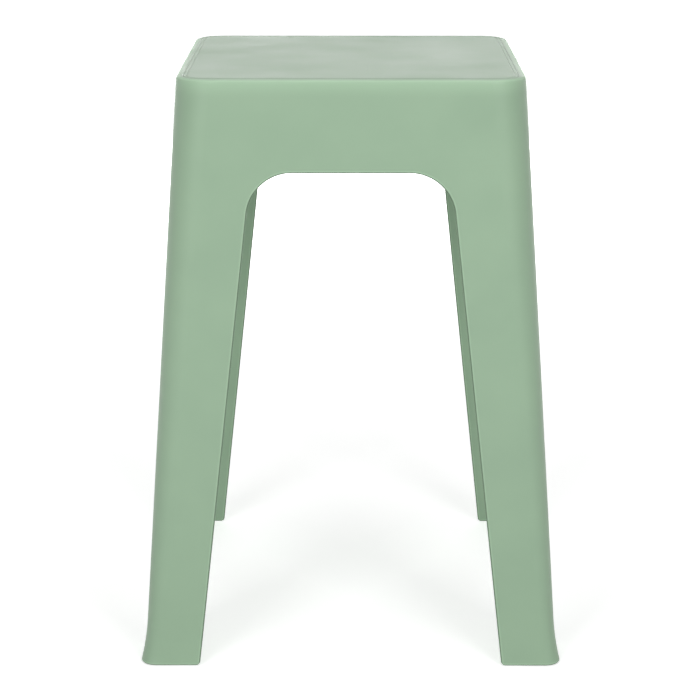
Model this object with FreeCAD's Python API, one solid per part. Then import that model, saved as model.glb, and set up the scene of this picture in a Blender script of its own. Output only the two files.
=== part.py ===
import FreeCAD, Part
import math
import os

# Stacking stool, moulded in one shot, with a push-in pad in each foot.
# Millimetres. The floor is z = 0, +Z is up and the front faces -Y.

# Seat and sides
seat_height = 460.0
seat_width = 266.0
side_slope_deg = 3.77
seat_corner_radius = 28.0
foot_corner_radius = 12.0
top_edge_radius = 3.0

# Walls of the moulding
side_wall = 2.8
seat_wall = 3.2
inner_edge_bevel = 3.0
free_edge_bevel = 0.9

# Arch in each side
arch_top_height = 389.9
arch_top_width = 151.0
arch_side_slope_deg = 6.4
arch_corner_radius = 34.5
leg_toe_radius = 3.5

# Foot, which curves outward near the floor
flare_height = 34.0
flare_reach = 3.2
flare_steps = 4

# Border of the seat: two fine grooves, and outside them a gentle fall to the edge
border_inset = 5.9
border_corner_radius = 17.0
border_spacing = 2.6
border_groove_width = 1.2
border_groove_depth = 0.35
border_fall_deg = 7.0

# Ribs under the seat
rib_depth = 14.0
rib_root_width = 2.2
rib_tip_width = 1.6
hub_diameter = 64.0
square_ring_width = 170.0
gate_boss_diameter = 14.0
gate_boss_depth = 3.0

# Fins in the corners, which stand on the seat of the stool below in a stack
stack_pitch = 50.0
fin_width = 2.2
fin_length = 28.0
fin_taper = 8.0

# Floor of each foot and the pocket for its pad
foot_floor_reach = 30.0
foot_floor_thickness = 2.6
pocket_wall = 1.6
pocket_depth = 2.4
pocket_corner_radius = 2.5

# Push-in pad
pad_projection = 0.8
pad_clearance = 0.15
groove_width = 1.4
groove_depth = 0.4
groove_pitch = 5.0
peg_diameter = 5.0
peg_wall_distance = 8.8
peg_clearance = 0.15
peg_length = 6.0
peg_bevel = 0.8

# How far a cut runs on past what it meets
past = 5.0

side_slope = math.tan(math.radians(side_slope_deg))
radius_loss = (seat_corner_radius - foot_corner_radius) / seat_height
arch_side_slope = math.tan(math.radians(arch_side_slope_deg))
rim_height = pad_projection
pocket_top = rim_height + pocket_depth
foot_floor_top = pocket_top + foot_floor_thickness
seat_underside = seat_height - seat_wall
diagonal = math.sqrt(2)
centre = FreeCAD.Vector(0, 0, 0)
up = FreeCAD.Vector(0, 0, 1)
inward_x = FreeCAD.Vector(-1, 0, -side_slope).normalize()
inward_y = FreeCAD.Vector(0, -1, -side_slope).normalize()


def flare_at(z):
    """How far the foot stands out past the straight side at height z."""
    share = max(0.0, (flare_height - z) / flare_height)
    return flare_reach * share ** 2


def half_width_at(z):
    """Half the outer width of the stool at height z."""
    return seat_width / 2 + side_slope * (seat_height - z) + flare_at(z)


def corner_radius_at(z):
    """Radius of the upright corners at height z: wide at the seat, tight at the foot."""
    return seat_corner_radius - radius_loss * (seat_height - z)


def quarters(shape):
    """Four copies of a shape, a quarter turn apart about the upright axis."""
    copies = []
    for quarter in range(4):
        copy = shape.copy()
        copy.rotate(centre, up, 90 * quarter)
        copies.append(copy)
    return copies


def rounded_outline(corners):
    """A closed flat wire through (x, y, radius) corners, each rounded by its own radius."""
    points = [FreeCAD.Vector(x, y, 0) for x, y, radius in corners]
    arcs = []
    for index, (x, y, radius) in enumerate(corners):
        point = points[index]
        back = (points[index - 1] - point).normalize()
        ahead = (points[(index + 1) % len(points)] - point).normalize()
        half_angle = back.getAngle(ahead) / 2
        reach = radius / math.tan(half_angle)
        inward = (back + ahead).normalize()
        crest = point + inward * (radius / math.sin(half_angle) - radius)
        arcs.append((point + back * reach, crest, point + ahead * reach, radius))
    edges = []
    for index, (start, crest, end, radius) in enumerate(arcs):
        if radius > 0:
            edges.append(Part.Arc(start, crest, end).toShape())
        following = arcs[(index + 1) % len(arcs)][0]
        if end.distanceToPoint(following) > 1e-6:
            edges.append(Part.LineSegment(end, following).toShape())
    return Part.Wire(edges)


def rounded_square(half_width, radius, z):
    """A level square outline with rounded corners."""
    signs = ((1, -1), (1, 1), (-1, 1), (-1, -1))
    outline = rounded_outline([(x * half_width, y * half_width, radius) for x, y in signs])
    outline.translate(up * z)
    return outline


def plan_at(z, inset):
    """The outline of the four sides at height z, with the sides set in by inset."""
    level_inset = inset * math.hypot(1, side_slope)
    return rounded_square(half_width_at(z) - level_inset, corner_radius_at(z) - level_inset, z)


def level_edges(shape, z):
    """The edges of a shape that lie level at height z."""
    bounds = [(edge, edge.BoundBox) for edge in shape.Edges]
    return [edge for edge, box in bounds if abs(box.ZMin - z) + abs(box.ZMax - z) < 1e-4]


def corner_cone(inset):
    """Apex and axis of the cone that rounds the corner with +X and +Y."""
    depth = seat_corner_radius / radius_loss
    reach = seat_width / 2 + side_slope * depth
    apex = FreeCAD.Vector(reach, reach, seat_height - depth)
    middle = seat_width / 2 - seat_corner_radius
    axis = (FreeCAD.Vector(middle, middle, seat_height) - apex).normalize()
    return apex + axis * (inset / axis.dot(inward_x)), axis


def touch_point(inset, inward, z):
    """Where the corner cone touches a side of the stool, at height z."""
    apex, axis = corner_cone(inset)
    line = axis - inward * axis.dot(inward)
    return apex + line * ((z - apex.z) / line.z)


def corner_patch(bottom, top, inset):
    """The cone's skin from one side of the stool round to the next."""
    apex, axis = corner_cone(inset)
    low = touch_point(inset, inward_x, bottom - past)
    high = touch_point(inset, inward_x, top + past)
    spokes = [axis * axis.dot(inward) - inward for inward in (inward_x, inward_y)]
    turn = math.degrees(spokes[0].getAngle(spokes[1]))
    patch = Part.LineSegment(low, high).toShape().revolve(apex, axis, turn)
    size = 4 * seat_width
    slab = Part.makeBox(size, size, top - bottom, FreeCAD.Vector(-size / 2, -size / 2, bottom))
    return patch.common(slab).Faces[0]


def side_patch(bottom, top, inset):
    """The flat of one side, between the lines where two corner cones touch it."""
    low = touch_point(inset, inward_x, bottom)
    high = touch_point(inset, inward_x, top)
    corners = [low, high, FreeCAD.Vector(high.x, -high.y, top), FreeCAD.Vector(low.x, -low.y, bottom)]
    return Part.Face(Part.makePolygon(corners + corners[:1]))


def straight_block(bottom, top, inset):
    """The space inside the sides above the feet: four flats and four cones."""
    faces = quarters(corner_patch(bottom, top, inset)) + quarters(side_patch(bottom, top, inset))
    skin = Part.Compound(faces)
    for z in (bottom, top):
        faces.append(Part.Face(Part.Wire(Part.__sortEdges__(level_edges(skin, z)))))
    closed = Part.Compound(faces)
    closed.sewShape()
    return Part.Solid(closed.Shells[0])


def foot_block(bottom, straight, inset):
    """The space inside the flared feet, from the straight sides down."""
    plans = [Part.Wire(Part.__sortEdges__(level_edges(straight, flare_height)))]
    for step in range(1, flare_steps + 1):
        plans.append(plan_at(flare_height + (bottom - flare_height) * step / flare_steps, inset))
    return Part.makeLoft(plans, True, False)


def tapered_block(bottom, top, inset):
    """The whole space inside the sides, from the foot to the seat."""
    straight = straight_block(flare_height, top, inset)
    return straight.fuse(foot_block(bottom, straight, inset))


def arch_openings():
    """Two tunnels, front to back and side to side, that leave a leg at each corner."""
    toe_angle = math.radians(90 + arch_side_slope_deg) / 2
    toe_reach = leg_toe_radius / math.tan(toe_angle)
    top_x = arch_top_width / 2
    toe_x = top_x + arch_side_slope * (arch_top_height - rim_height)
    side = [
        (top_x, arch_top_height, arch_corner_radius),
        (toe_x, rim_height, leg_toe_radius),
        (toe_x + toe_reach, rim_height, 0),
        (toe_x + toe_reach, rim_height - past, 0),
    ]
    other_side = [(-x, z, radius) for x, z, radius in reversed(side)]
    half_length = half_width_at(rim_height) + past
    tunnel = Part.Face(rounded_outline(side + other_side)).extrude(up * (2 * half_length))
    tunnel.translate(up * -half_length)
    tunnel.rotate(centre, FreeCAD.Vector(1, 0, 0), 90)
    across = tunnel.copy()
    across.rotate(centre, up, 90)
    return tunnel.fuse(across)


def border_outline(inset, z):
    """A level square outline that runs along the border, set in from the seat's edge by inset."""
    radius = border_corner_radius + border_inset - inset
    return rounded_square(seat_width / 2 - inset, radius, z)


def border_fall():
    """The space over the border, whose surface falls gently from the outer groove outward."""
    fall = math.tan(math.radians(border_fall_deg))
    top = seat_height + past * fall
    bottom = seat_height - (border_inset + past) * fall
    narrow = border_outline(border_inset + past, top)
    wide = border_outline(-past, bottom)
    roof = Part.makeLoft([narrow, wide], True, True)
    reach = seat_width / 2 + 2 * past
    slab = Part.makeBox(2 * reach, 2 * reach, top - bottom, FreeCAD.Vector(-reach, -reach, bottom))
    return slab.cut(roof)


def border_grooves():
    """Two V-shaped grooves round the top of the seat, each between two tapered squares."""
    grooves = []
    for inset in (border_inset, border_inset + border_spacing):
        blocks = []
        for side in (-1, 1):
            edge = inset + side * border_groove_width / 2
            above = border_outline(2 * edge - inset, seat_height + border_groove_depth)
            below = border_outline(inset, seat_height - border_groove_depth)
            blocks.append(Part.makeLoft([above, below], True, True))
        grooves.append(blocks[0].cut(blocks[1]))
    return grooves


def rib_section(offset):
    """Cross-section of a rib in the X-Z plane, centred at x = offset, thicker at its root."""
    tip = seat_underside - rib_depth
    root = seat_underside
    corners = [
        FreeCAD.Vector(offset - rib_tip_width / 2, 0, tip),
        FreeCAD.Vector(offset + rib_tip_width / 2, 0, tip),
        FreeCAD.Vector(offset + rib_root_width / 2, 0, root),
        FreeCAD.Vector(offset - rib_root_width / 2, 0, root),
    ]
    return Part.Face(Part.makePolygon(corners + corners[:1]))


def seat_ribs():
    """A hub ring, eight spokes and a square ring of ribs under the seat, and the gate boss."""
    spoke_start = hub_diameter / 2
    hub_place = FreeCAD.Vector(0, 0, seat_underside - rib_depth)
    hub = Part.makeCylinder(spoke_start + rib_root_width / 2, rib_depth, hub_place)
    hub = hub.cut(Part.makeCylinder(spoke_start - rib_root_width / 2, rib_depth, hub_place))
    spoke_end = diagonal * seat_width / 2
    spoke = rib_section(0).extrude(FreeCAD.Vector(0, spoke_end - spoke_start, 0))
    spoke.translate(FreeCAD.Vector(0, spoke_start, 0))
    ring_side = rib_section(square_ring_width / 2).extrude(FreeCAD.Vector(0, square_ring_width, 0))
    ring_side.translate(FreeCAD.Vector(0, -square_ring_width / 2, 0))
    boss_place = FreeCAD.Vector(0, 0, seat_underside - gate_boss_depth)
    boss = Part.makeCylinder(gate_boss_diameter / 2, gate_boss_depth, boss_place)
    diagonal_spoke = spoke.copy()
    diagonal_spoke.rotate(centre, up, 45)
    return [hub, boss] + quarters(spoke) + quarters(diagonal_spoke) + quarters(ring_side)


def stacking_fins():
    """An upright fin on the diagonal of each corner, down to the seat of the stool below."""
    foot = seat_height - stack_pitch
    corner = diagonal * half_width_at(foot) - (diagonal - 1) * corner_radius_at(foot)
    inner = corner - side_wall - fin_length
    corners = [
        FreeCAD.Vector(inner - fin_taper, 0, seat_underside),
        FreeCAD.Vector(inner, 0, foot),
        FreeCAD.Vector(corner, 0, foot),
        FreeCAD.Vector(corner, 0, seat_underside),
    ]
    fin = Part.Face(Part.makePolygon(corners + corners[:1])).extrude(FreeCAD.Vector(0, fin_width, 0))
    fin.translate(FreeCAD.Vector(0, -fin_width / 2, 0))
    fin.rotate(centre, up, 45)
    return quarters(fin)


def foot_triangle(inset, corner_radius, z):
    """Outline inside the corner of a foot, bounded by its two walls and a diagonal."""
    wall = half_width_at(rim_height) - side_wall
    outer = wall - inset
    inner = wall - foot_floor_reach + (diagonal + 1) * inset
    heel_radius = max(corner_radius, corner_radius_at(rim_height) - side_wall - inset)
    corners = [(outer, outer, heel_radius), (inner, outer, corner_radius), (outer, inner, corner_radius)]
    outline = rounded_outline(corners)
    outline.translate(up * z)
    return outline


def foot_floors():
    """A solid corner in the bottom of each leg, which the pad is pushed into."""
    wall = half_width_at(rim_height) - side_wall
    edge = wall - foot_floor_reach - past
    corners = [(wall + past, edge, 0), (wall + past, wall + past, 0), (edge, wall + past, 0)]
    block = Part.Face(rounded_outline(corners)).extrude(up * foot_floor_top)
    return quarters(block)


def peg_place():
    """Where the peg of a pad stands, in the corner with +X and +Y."""
    distance = half_width_at(rim_height) - side_wall - peg_wall_distance
    return FreeCAD.Vector(distance, distance, 0)


def pad_sockets():
    """The pocket under each foot and the hole in its roof."""
    pocket = Part.Face(foot_triangle(pocket_wall, pocket_corner_radius, 0)).extrude(up * pocket_top)
    hole = Part.makeCylinder(peg_diameter / 2 + peg_clearance, foot_floor_top + past, peg_place())
    return quarters(pocket.fuse(hole))


def side_skin(block):
    """The faces of a block without its level top and bottom."""
    return Part.Compound([face for face in block.Faces if face.BoundBox.ZLength > 1e-3])


def lies_on(edge, skin):
    """Whether an edge lies on a surface, tested near its ends and at its middle."""
    span = edge.LastParameter - edge.FirstParameter
    for share in (0.02, 0.5, 0.98):
        point = edge.valueAt(edge.FirstParameter + span * share)
        if skin.distToShape(Part.Vertex(point))[0] > 1e-3:
            return False
    return True


def bevel_free_edge(body, outer, arches):
    """Bevel the edge that runs over every arch and round every foot in one loop."""
    loop = [edge for edge in level_edges(body, rim_height) if lies_on(edge, outer)]
    long_edges = [edge for edge in body.Edges if edge.Length > 1.5 * side_wall]
    loop += [edge for edge in long_edges if lies_on(edge, outer) and lies_on(edge, arches)]
    return body.makeChamfer(free_edge_bevel, loop)


def stool_body():
    """Seat, apron and four L-section legs, hollow underneath, as one moulding."""
    outer = tapered_block(rim_height, seat_height, 0.0)
    outer = outer.makeFillet(top_edge_radius, level_edges(outer, seat_height))
    core = tapered_block(rim_height - past, seat_underside, side_wall)
    core = core.makeChamfer(inner_edge_bevel, level_edges(core, seat_underside))
    arches = arch_openings()
    hollow = core.cut(seat_ribs() + stacking_fins() + foot_floors())
    body = outer.cut([hollow, arches]).Solids[0]
    body = bevel_free_edge(body, side_skin(outer), arches.Shells[0])
    return body.cut(border_fall()).cut(border_grooves() + pad_sockets()).Solids[0]


def peg():
    """A peg that is pushed up through the foot's floor and stays there by its grip."""
    shape = Part.makeCylinder(peg_diameter / 2, peg_length, up * pocket_top)
    shape = shape.makeChamfer(peg_bevel, level_edges(shape, pocket_top + peg_length))
    shape.translate(peg_place())
    return shape


def foot_pad():
    """The pad of the corner with +X and +Y: a grooved plate with a peg."""
    outline = foot_triangle(pocket_wall + pad_clearance, pocket_corner_radius - pad_clearance, 0)
    plate = Part.Face(outline).extrude(up * pocket_top)
    wall = half_width_at(rim_height) - side_wall
    groove = Part.makeBox(groove_width, 2 * foot_floor_reach, 2 * groove_depth)
    groove.translate(FreeCAD.Vector(-groove_width / 2, -foot_floor_reach, -groove_depth))
    groove.rotate(centre, up, 45)
    grooves = []
    corner_distance = groove_pitch
    while corner_distance < foot_floor_reach:
        step = wall - corner_distance / diagonal
        line = groove.copy()
        line.translate(FreeCAD.Vector(step, step, 0))
        grooves.append(line)
        corner_distance += groove_pitch
    return plate.cut(grooves).fuse(peg())


def main():
    os.makedirs("parts", exist_ok=True)
    nodes = {"stool_body": stool_body()}
    places = ("rear_right", "rear_left", "front_left", "front_right")
    for place, pad in zip(places, quarters(foot_pad())):
        nodes["foot_pad_" + place] = pad
    for name, shape in nodes.items():
        print(name, "solids", len(shape.Solids), "valid", shape.isValid(), "mm3", round(shape.Volume))
        shape.exportStep("parts/" + name + ".step")


main()
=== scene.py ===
# %% [markdown]
# # A stacking stool
# This stool is moulded in one shot from polypropylene: a square seat, an apron with an arch in each
# side, and four legs that are only folded corners of the same thin wall. Four soft pads are pushed
# into pockets under the feet.
#
# The exact shapes come from a CAD model, which is loaded first as a fixed frame in metres. A hard
# moulding needs no soft modelling on top, so this lesson is about what turns exact but grey
# shapes into a believable product picture: the camera, the surface finishes, the floor and light.

import math

import bpy
from mathutils import Euler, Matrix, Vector


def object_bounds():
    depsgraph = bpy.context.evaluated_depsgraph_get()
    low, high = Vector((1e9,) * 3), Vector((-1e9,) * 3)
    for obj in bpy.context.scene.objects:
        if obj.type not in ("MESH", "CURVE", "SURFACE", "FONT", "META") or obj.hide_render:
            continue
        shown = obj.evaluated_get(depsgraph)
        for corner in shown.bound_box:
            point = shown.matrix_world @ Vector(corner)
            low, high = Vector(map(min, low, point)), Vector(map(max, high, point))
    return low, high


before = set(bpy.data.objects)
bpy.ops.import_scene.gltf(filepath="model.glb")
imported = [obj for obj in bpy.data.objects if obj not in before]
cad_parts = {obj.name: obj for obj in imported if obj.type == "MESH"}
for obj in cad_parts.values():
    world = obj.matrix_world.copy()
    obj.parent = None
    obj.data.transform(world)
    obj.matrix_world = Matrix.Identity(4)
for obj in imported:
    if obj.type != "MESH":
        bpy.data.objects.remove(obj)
cad_box = [list(corner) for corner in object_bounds()]
scene = bpy.context.scene
print("CAD pieces:", ", ".join(sorted(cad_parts)))
print("CAD box in metres:", [[round(value, 4) for value in corner] for corner in cad_box])

# %% [markdown]
# ## The camera
# A product picture is often taken from some way off with a long lens, so that upright edges stay
# almost parallel. The stool was matched by its outline: seat, arch and feet fix the distance, the
# height and the tilt together. The lens value is the focal length for a sensor 36 mm wide.

# %% Camera
SENSOR_MM = 36.0
PICTURE_PX = 700
FOCAL_PX = 2126.0
CAMERA_PLACE = Vector((0.00183, -1.71628, 0.69395))
CAMERA_TURN_DEG = (74.354, -0.024, 0.096)

lens = bpy.data.cameras.new("camera")
lens.sensor_width = SENSOR_MM
lens.lens = FOCAL_PX / PICTURE_PX * SENSOR_MM
camera = bpy.data.objects.new("camera", lens)
camera.location = CAMERA_PLACE
camera.rotation_euler = Euler([math.radians(turn) for turn in CAMERA_TURN_DEG])
scene.collection.objects.link(camera)
scene.camera = camera
print("lens", round(lens.lens, 1), "mm, camera", round(CAMERA_PLACE.length, 2), "m from the floor's middle")

# %% [markdown]
# ## Helpers for colours and nodes
# Colours are easiest to read as sRGB hex values, as in any paint program, but a renderer adds up
# light, so it needs linear values. The first function turns one into the other. The second adds a
# node: settings are written as attributes, and each input is either a plain value or another node's
# output to link from. An input goes by its name, with underscores for spaces. Where names repeat it
# goes by an underscore and its number: a maths node has inputs _0 and _1, and a colour mix takes its
# factor at _0 and its two colours at _6 and _7. The mixed colour comes out at output 2.

# %% Helpers for colours and nodes
def linear(hex_colour):
    channels = [int(hex_colour[place:place + 2], 16) / 255 for place in (1, 3, 5)]
    bent = [c / 12.92 if c <= 0.04045 else ((c + 0.055) / 1.055) ** 2.4 for c in channels]
    return (*bent, 1.0)


def add_node(tree, kind, settings=None, **inputs):
    node = tree.nodes.new(kind)
    for name, value in (settings or {}).items():
        setattr(node, name, value)
    for name, value in inputs.items():
        socket = node.inputs[int(name[1:])] if name[1:].isdigit() else node.inputs[name.replace("_", " ")]
        if isinstance(value, bpy.types.NodeSocket):
            tree.links.new(value, socket)
        else:
            socket.default_value = value
    return node


def empty_tree(owner):
    owner.use_nodes = True
    owner.node_tree.nodes.clear()
    return owner.node_tree


print("the grey #808080 is", round(linear("#808080")[0], 2), "of the light of white")

# %% [markdown]
# ## The stool's own finish
# Polypropylene straight from a fine-textured steel mould: the steel is spark-eroded or blasted, so
# the plastic leaves it with a very fine, even grain. To the eye that is a satin skin: broad soft
# highlights, a milky sheen on the seat when seen at a low angle, and no sharp reflections. The
# colour runs through the material, with hardly visible clouds a few centimetres wide, where the
# pigment mixed less evenly and the sheen is a little duller.
#
# The grain could be painted as an image, but a noise pattern in object space fits every face
# without seams. Real grain is about 0.1 mm, too fine for this picture, so it is drawn about
# six times coarser and very shallow.

# %% Satin polypropylene
MM = 0.001
COLOURS = {"data_type": "RGBA"}
GRAIN_MM, GRAIN_DETAIL = 0.6, 2.0
GRAIN_HEIGHT_MM = 0.012
CLOUD_MM, CLOUD_DETAIL = 50.0, 3.0
SAGE_DEEPER, SAGE_LIGHTER = "#91AD92", "#9CB89B"
ROUGH_LEAST, ROUGH_MOST = 0.28, 0.53
POLYPROPYLENE_IOR = 1.49

satin = bpy.data.materials.new("satin_polypropylene")
tree = empty_tree(satin)
place = add_node(tree, "ShaderNodeTexCoord").outputs["Object"]
grain = add_node(tree, "ShaderNodeTexNoise", Vector=place, Scale=1 / (GRAIN_MM * MM), Detail=GRAIN_DETAIL)
clouds = add_node(tree, "ShaderNodeTexNoise", Vector=place, Scale=1 / (CLOUD_MM * MM), Detail=CLOUD_DETAIL)
sage = add_node(
    tree, "ShaderNodeMix", COLOURS,
    _0=clouds.outputs["Fac"], _6=linear(SAGE_DEEPER), _7=linear(SAGE_LIGHTER),
)
shine = add_node(
    tree, "ShaderNodeMapRange",
    Value=clouds.outputs["Fac"], To_Min=ROUGH_LEAST, To_Max=ROUGH_MOST,
)
relief = add_node(
    tree, "ShaderNodeBump",
    Height=grain.outputs["Fac"], Distance=GRAIN_HEIGHT_MM * MM, Strength=1.0,
)
skin = add_node(
    tree, "ShaderNodeBsdfPrincipled", IOR=POLYPROPYLENE_IOR,
    Roughness=shine.outputs["Result"], Normal=relief.outputs["Normal"],
)
add_node(tree, "ShaderNodeOutputMaterial", Surface=skin.outputs["BSDF"])
print("grain drawn at", GRAIN_MM, "mm,", GRAIN_HEIGHT_MM, "mm high")

# %% [markdown]
# ## Painted highlight on the edge of the seat
# Towards the rounded edge of the seat the colour is made paler as a painted highlight, standing in for a
# lamp above and in front catching the rounding: a soft band at the top of the apron, and a light line on the
# edge itself. Both lie at fixed depths below the seat, so the height of a point is all that the material
# needs. The line fades out again where the flat of the seat begins.

# %% Painted highlight: band and line
SMOOTH = {"interpolation_type": "SMOOTHSTEP"}
BAND_FROM_MM, BAND_TO_MM = 14.0, 1.0
LINE_FROM_MM, LINE_TO_MM = 2.2, 1.0
FADE_FROM_MM = 0.6
# colours of the painted highlight on the seat's edge: a soft band and a light line
HIGHLIGHT_BAND_SAGE, HIGHLIGHT_LINE_SAGE = "#A3C1A3", "#B4D3B4"

seat_level = cad_box[1][2]
height = add_node(tree, "ShaderNodeSeparateXYZ", Vector=place).outputs["Z"]
fading = add_node(
    tree, "ShaderNodeMapRange", SMOOTH, Value=height,
    From_Min=seat_level - FADE_FROM_MM * MM, From_Max=seat_level, To_Min=1.0, To_Max=0.0,
)
coloured = sage.outputs[2]
for start_mm, full_mm, highlight_colour in (
    (BAND_FROM_MM, BAND_TO_MM, HIGHLIGHT_BAND_SAGE),
    (LINE_FROM_MM, LINE_TO_MM, HIGHLIGHT_LINE_SAGE),
):
    rising = add_node(
        tree, "ShaderNodeMapRange", SMOOTH, Value=height,
        From_Min=seat_level - start_mm * MM, From_Max=seat_level - full_mm * MM,
    )
    painted_highlight = add_node(
        tree, "ShaderNodeMath", {"operation": "MULTIPLY"},
        _0=rising.outputs["Result"], _1=fading.outputs["Result"],
    )
    # mix in the paler colour as painted highlight
    layer = add_node(
        tree, "ShaderNodeMix", COLOURS, _0=painted_highlight.outputs[0], _6=coloured, _7=linear(highlight_colour),
    )
    coloured = layer.outputs[2]
print("band begins", BAND_FROM_MM, "mm and line", LINE_FROM_MM, "mm below the seat")

# %% [markdown]
# ## The two grooves
# Two fine grooves frame the seat. The CAD shape has them, but light alone draws them too weakly at this
# size, so their shade is painted in and their colour is taken down.
#
# Both follow a rounded square. The distance to it is measured as a drawing would: fold the seat to
# one quarter, step back to the middle of the corner's arc, and take the length of what is left.
# Only places close to the seat's own level are shaded, so that its underside stays plain.

# %% Painted shade in the grooves
GROOVE_CORE_MM = 110.1
GROOVE_MIDDLE_MM = 15.7
GROOVE_APART_MM = 2.6
GROOVE_HALF_MM = 0.7
SEAT_ONLY_MM = 1.5
# colour of the painted shade in the grooves
GROOVE_SHADE_SAGE = "#7E987E"

flat = add_node(tree, "ShaderNodeVectorMath", {"operation": "MULTIPLY"}, _0=place, _1=(1, 1, 0))
folded = add_node(tree, "ShaderNodeVectorMath", {"operation": "ABSOLUTE"}, _0=flat.outputs[0])
core = (GROOVE_CORE_MM * MM, GROOVE_CORE_MM * MM, 0)
beyond = add_node(tree, "ShaderNodeVectorMath", {"operation": "SUBTRACT"}, _0=folded.outputs[0], _1=core)
outside = add_node(
    tree, "ShaderNodeVectorMath", {"operation": "MAXIMUM"}, _0=beyond.outputs[0], _1=(0, 0, 0),
)
gap = add_node(tree, "ShaderNodeVectorMath", {"operation": "LENGTH"}, _0=outside.outputs[0]).outputs["Value"]
for offset_mm in (GROOVE_MIDDLE_MM, GROOVE_APART_MM / 2):
    moved = add_node(tree, "ShaderNodeMath", {"operation": "SUBTRACT"}, _0=gap, _1=offset_mm * MM)
    gap = add_node(tree, "ShaderNodeMath", {"operation": "ABSOLUTE"}, _0=moved.outputs[0]).outputs[0]
shade = add_node(
    tree, "ShaderNodeMapRange", SMOOTH, Value=gap,
    From_Min=0.0, From_Max=GROOVE_HALF_MM * MM, To_Min=1.0, To_Max=0.0,
)
on_seat = add_node(
    tree, "ShaderNodeMath", {"operation": "GREATER_THAN"}, _0=height, _1=seat_level - SEAT_ONLY_MM * MM,
)
painted_groove_shade = add_node(
    tree, "ShaderNodeMath", {"operation": "MULTIPLY"},
    _0=shade.outputs["Result"], _1=on_seat.outputs[0],
)
# mix in the darker colour as painted shade
bordered = add_node(
    tree, "ShaderNodeMix", COLOURS, _0=painted_groove_shade.outputs[0], _6=coloured, _7=linear(GROOVE_SHADE_SAGE),
)
print("two grooves", GROOVE_APART_MM, "mm apart are shaded")

# %% [markdown]
# ## The free edge
# The wall ends in one long free edge, over the arches and round the feet. Its bevel turns away from the
# lamps, so it is darkened as painted shade, and the skin beside it is lightened as a painted highlight: a
# light line next to a dark one.
#
# To draw both, the material needs the distance to the arch. Each side of the stool has the same
# arch, so the smaller of the two sideways distances is enough. Seen from the middle of the arch's
# round corner, the shortest way out goes squarely through the leaning side, squarely through the
# level top, or between the two, through the corner. So a point's own angle is clamped between
# those of the side and the top, and a cosine turns its distance from the middle into the reach.

# %% Distance from the arch
ARCH_TOP_MM = 389.9
ARCH_HALF_MM = 75.5
ARCH_LEAN_DEG = 6.4
ARCH_CORNER_MM = 34.5

arch_lean = math.radians(ARCH_LEAN_DEG)
corner_reach_mm = ARCH_CORNER_MM / math.tan(math.radians(90 + ARCH_LEAN_DEG) / 2)
corner_side = (ARCH_HALF_MM - corner_reach_mm) * MM
corner_height = (ARCH_TOP_MM - ARCH_CORNER_MM) * MM

sideways = add_node(tree, "ShaderNodeSeparateXYZ", Vector=folded.outputs[0]).outputs
nearer = add_node(tree, "ShaderNodeMath", {"operation": "MINIMUM"}, _0=sideways["X"], _1=sideways["Y"])
across = add_node(
    tree, "ShaderNodeMath", {"operation": "SUBTRACT"}, _0=nearer.outputs[0], _1=corner_side,
)
above = add_node(tree, "ShaderNodeMath", {"operation": "SUBTRACT"}, _0=height, _1=corner_height)
arm = add_node(tree, "ShaderNodeCombineXYZ", X=across.outputs[0], Y=above.outputs[0])
arm_length = add_node(tree, "ShaderNodeVectorMath", {"operation": "LENGTH"}, _0=arm.outputs[0])
angle = add_node(
    tree, "ShaderNodeMath", {"operation": "ARCTAN2"}, _0=above.outputs[0], _1=across.outputs[0],
)
nearest = add_node(tree, "ShaderNodeClamp", Value=angle.outputs[0], Min=arch_lean, Max=math.pi / 2)
turn = add_node(
    tree, "ShaderNodeMath", {"operation": "SUBTRACT"}, _0=angle.outputs[0], _1=nearest.outputs[0],
)
share = add_node(tree, "ShaderNodeMath", {"operation": "COSINE"}, _0=turn.outputs[0])
reach = add_node(
    tree, "ShaderNodeMath", {"operation": "MULTIPLY"},
    _0=arm_length.outputs["Value"], _1=share.outputs[0],
)
from_arch = add_node(
    tree, "ShaderNodeMath", {"operation": "SUBTRACT"}, _0=reach.outputs[0], _1=ARCH_CORNER_MM * MM,
)
print("arch corner turns round", round(corner_side / MM, 1), round(corner_height / MM, 1), "mm")

# %% [markdown]
# The foot's lower edge counts as well. It stands as far above the floor as the pad shows under it.
# The smaller of the two distances is taken. The painted highlight is laid on first, and then the painted
# shade on the bevel.

# %% Painted shade on the bevel, painted highlight beside it
PAD_SHOWS_MM = 0.8
BEVEL_MM, SKIN_FROM_MM, SKIN_TO_MM = 0.8, 1.2, 2.4
# colours of the painted highlight beside the free edge and the painted shade on its bevel
EDGE_HIGHLIGHT_SAGE, BEVEL_SHADE_SAGE = "#A4C2A4", "#758D75"

from_foot = add_node(
    tree, "ShaderNodeMath", {"operation": "SUBTRACT"}, _0=height, _1=PAD_SHOWS_MM * MM,
)
from_edge = add_node(
    tree, "ShaderNodeMath", {"operation": "MINIMUM"},
    _0=from_arch.outputs[0], _1=from_foot.outputs[0],
)
coloured = bordered.outputs[2]
for full_mm, end_mm, painted_colour in (
    (SKIN_FROM_MM, SKIN_TO_MM, EDGE_HIGHLIGHT_SAGE),
    (BEVEL_MM, SKIN_FROM_MM, BEVEL_SHADE_SAGE),
):
    strength = add_node(
        tree, "ShaderNodeMapRange", SMOOTH, Value=from_edge.outputs[0],
        From_Min=full_mm * MM, From_Max=end_mm * MM, To_Min=1.0, To_Max=0.0,
    )
    layer = add_node(
        tree, "ShaderNodeMix", COLOURS, _0=strength.outputs["Result"], _6=coloured, _7=linear(painted_colour),
    )
    coloured = layer.outputs[2]
tree.links.new(coloured, skin.inputs["Base Color"])
# the rubbed skin in this print is the painted highlight beside the bevel
print("bevel drawn to", BEVEL_MM, "mm and rubbed skin to", SKIN_TO_MM, "mm from the free edge")

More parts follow.
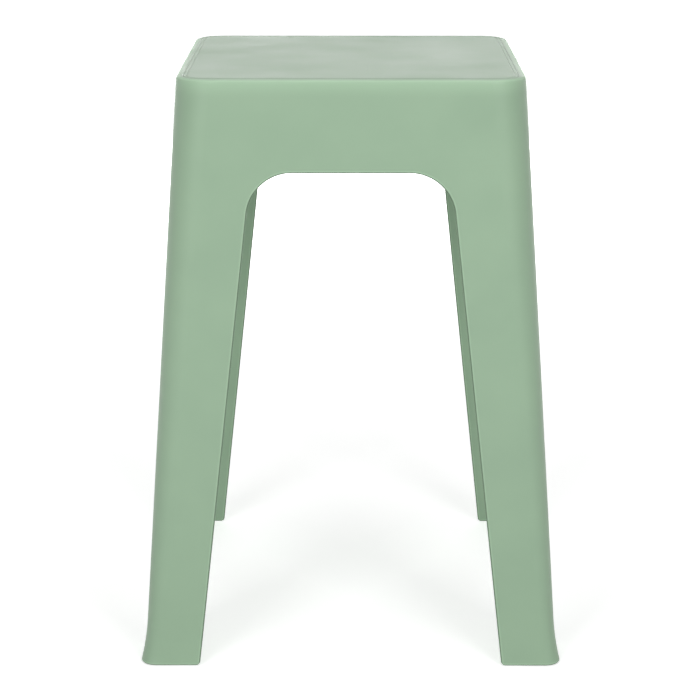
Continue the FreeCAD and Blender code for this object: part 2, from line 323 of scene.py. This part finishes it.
# %% [markdown]
# ## The pads' finish
# The pads are a soft rubber-like plastic, TPE, moulded against a plain matt tool. It is darker than
# the stool and almost without gloss, and under the feet it reads as the thin dark line where the
# stool meets the floor. The dust on it is finer than the picture can show, so its speckle is drawn
# nearly a millimetre coarse.

# %% Matt soft pads
SPECKLE_MM, SPECKLE_DETAIL = 0.8, 4.0
SPECKLE_HEIGHT_MM = 0.02
RUBBER_DARKER, RUBBER_DUSTY = "#494B49", "#555755"
RUBBER_ROUGH = 0.75
RUBBER_IOR = 1.50

matt = bpy.data.materials.new("matt_soft_tpe")
tree = empty_tree(matt)
place = add_node(tree, "ShaderNodeTexCoord").outputs["Object"]
speckle = add_node(
    tree, "ShaderNodeTexNoise", Vector=place, Scale=1 / (SPECKLE_MM * MM), Detail=SPECKLE_DETAIL,
)
dusty = add_node(
    tree, "ShaderNodeMix", COLOURS,
    _0=speckle.outputs["Fac"], _6=linear(RUBBER_DARKER), _7=linear(RUBBER_DUSTY),
)
relief = add_node(
    tree, "ShaderNodeBump",
    Height=speckle.outputs["Fac"], Distance=SPECKLE_HEIGHT_MM * MM, Strength=1.0,
)
rubber = add_node(
    tree, "ShaderNodeBsdfPrincipled", Base_Color=dusty.outputs[2], IOR=RUBBER_IOR,
    Roughness=RUBBER_ROUGH, Normal=relief.outputs["Normal"],
)
add_node(tree, "ShaderNodeOutputMaterial", Surface=rubber.outputs["BSDF"])
print("speckle drawn at", SPECKLE_MM, "mm")

# %% [markdown]
# ## Every piece gets its finish
# The pieces stay exactly as the CAD made them. Only the material in their slots is changed.

# %% Assign the finishes
for name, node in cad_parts.items():
    finish = matt if name.startswith("foot_pad") else satin
    for slot in node.material_slots:
        slot.material = finish
    print(name, "->", finish.name)

# %% [markdown]
# ## The floor
# The picture's ground is white, and only a soft shadow tells where the stool stands. A floor that is
# lit until it is white would throw too much light up on the stool. So the floor stays a pale
# diffuse surface, and a glow that only the camera and mirror-like rays see lifts it to white. Near the
# stool the glow is weak, so that the shadow stays; further off, where the lamps hardly reach, it grows.

# %% Floor
FLOOR_SIDE_M = 16.0
PAPER = "#F4F4F4"
GLOW_NEAR, GLOW_FAR = 0.54, 1.0
GLOW_FROM_M, GLOW_TO_M = 0.35, 1.6


def shown_to_camera_and_mirrors(tree):
    path = add_node(tree, "ShaderNodeLightPath").outputs
    seen = path["Is Camera Ray"]
    for kind_of_ray in ("Is Glossy Ray", "Is Transmission Ray"):
        both = add_node(tree, "ShaderNodeMath", {"operation": "MAXIMUM"}, _0=seen, _1=path[kind_of_ray])
        seen = both.outputs[0]
    return seen


bpy.ops.mesh.primitive_plane_add(size=FLOOR_SIDE_M)
floor = bpy.context.object
floor.name = "floor"
paper = bpy.data.materials.new("white_paper_floor")
tree = empty_tree(paper)
seen = shown_to_camera_and_mirrors(tree)
place = add_node(tree, "ShaderNodeTexCoord").outputs["Object"]
distance = add_node(tree, "ShaderNodeVectorMath", {"operation": "LENGTH"}, _0=place)
growth = add_node(
    tree, "ShaderNodeMapRange", SMOOTH, Value=distance.outputs["Value"],
    From_Min=GLOW_FROM_M, From_Max=GLOW_TO_M, To_Min=GLOW_NEAR, To_Max=GLOW_FAR,
)
glow = add_node(tree, "ShaderNodeEmission", Strength=growth.outputs["Result"])
sheet = add_node(tree, "ShaderNodeBsdfDiffuse", Color=linear(PAPER))
lifted = add_node(tree, "ShaderNodeAddShader", _0=sheet.outputs[0], _1=glow.outputs[0])
choice = add_node(tree, "ShaderNodeMixShader", _0=seen, _1=sheet.outputs[0], _2=lifted.outputs[0])
add_node(tree, "ShaderNodeOutputMaterial", Surface=choice.outputs[0])
floor.data.materials.append(paper)
print("floor", FLOOR_SIDE_M, "m wide, glow", GLOW_NEAR, "near the stool and", GLOW_FAR, "far off")

# %% [markdown]
# ## The world
# The world is the light that comes from everywhere. On the stool it only fills the shade a little,
# while the camera and the reflections see plain white.

# %% World
WORLD_FILL = 0.16
WHITE = "#FFFFFF"

world = bpy.data.worlds.new("studio")
scene.world = world
tree = empty_tree(world)
fill = add_node(tree, "ShaderNodeBackground", Color=linear(WHITE), Strength=WORLD_FILL)
white = add_node(tree, "ShaderNodeBackground", Color=linear(WHITE), Strength=1.0)
seen = shown_to_camera_and_mirrors(tree)
choice = add_node(tree, "ShaderNodeMixShader", _0=seen, _1=fill.outputs[0], _2=white.outputs[0])
add_node(tree, "ShaderNodeOutputWorld", Surface=choice.outputs[0])
print("world fills the shade with", WORLD_FILL, "of white")

# %% [markdown]
# ## The lamps
# Soft light comes from large surfaces. Two softboxes stand left and right of the camera and above
# it: they light the front evenly, reach through the front arch to the rear legs, and let the rounded
# corners fall off into shade. A wide flat strip between them draws the highlight on the seat's edge,
# and a lamp overhead lights the seat. One behind the stool gives the seat its milky sheen, and a
# low one there lights the floor under it.

# %% Lamps
STOOL_LOW, STOOL_MIDDLE, STOOL_SEAT = (0, 0, 0.1), (0, 0, 0.25), (0, 0, 0.45)


def softbox(name, place, target, size, watts):
    light = bpy.data.lights.new(name, "AREA")
    light.shape = "RECTANGLE"
    light.size, light.size_y = size
    light.energy = watts
    lamp = bpy.data.objects.new(name, light)
    lamp.location = place
    aim = Vector(target) - Vector(place)
    lamp.rotation_euler = aim.to_track_quat("-Z", "Y").to_euler()
    scene.collection.objects.link(lamp)
    print(name, "is", round(aim.length, 2), "m from what it lights")


softbox("edge_strip", place=(0, -2.2, 1.5), target=STOOL_MIDDLE, size=(1.6, 0.5), watts=8)
softbox("left_softbox", place=(-1.2, -2.2, 1.4), target=STOOL_MIDDLE, size=(0.9, 0.9), watts=20)
softbox("right_softbox", place=(1.2, -2.2, 1.4), target=STOOL_MIDDLE, size=(0.9, 0.9), watts=20)
softbox("top_softbox", place=(0, 0.2, 2.4), target=STOOL_SEAT, size=(1.2, 1.2), watts=5.5)
softbox("back_softbox", place=(0, 2.4, 1.5), target=STOOL_SEAT, size=(2.4, 1.0), watts=3)
softbox("low_back_softbox", place=(0, 2.2, 0.35), target=STOOL_LOW, size=(2.4, 0.5), watts=24)

# %% [markdown]
# ## The finish of the picture
# The picture's colours come out as they are written when the view transform is Standard.

# %% Finish
scene.view_settings.view_transform = "Standard"
